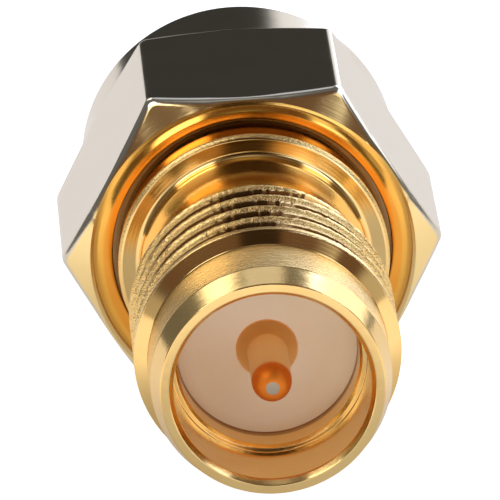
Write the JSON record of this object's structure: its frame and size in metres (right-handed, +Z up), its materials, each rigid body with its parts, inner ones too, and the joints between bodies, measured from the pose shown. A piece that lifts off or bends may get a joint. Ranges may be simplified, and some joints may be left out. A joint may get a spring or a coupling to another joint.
{
  "type": "sma to rp-sma adapter",
  "caption": "Coaxial adapter: a plug with a free-spinning hexagon coupling nut on one end, a threaded jack with a recessed centre pin on the other.",
  "frame": {"origin": "on the floor under the middle of the part, which lies on one flat of its hexagon", "axes": "+Y along the connector's axis from the jack's mouth to the plug's end, +Z up, +X across the hexagon's corners"},
  "size_m": [0.0092, 0.0158, 0.008],
  "materials": {
    "gold_plate": "bright gold plate on turned brass",
    "nickel_plate": "bright pale plate on milled brass",
    "spring_bronze": "plain spring bronze",
    "silicone": "matt silicone",
    "ptfe": "waxy white",
    "gold_contact": "gold plate"
  },
  "bodies": {
    "barrel": {"body": "gold_plate", "gasket": "silicone", "insulator": "ptfe", "centre_contact": "gold_contact"},
    "nut": {"coupling_nut": "nickel_plate", "snap_ring": "spring_bronze"}
  },
  "joints": [
    {"name": "nut_spin", "type": "hinge", "parent": "barrel", "child": "nut", "pos_m": [0, 0.00073, 0.004], "axis": [0, -1, 0], "continuous": true}
  ]
}
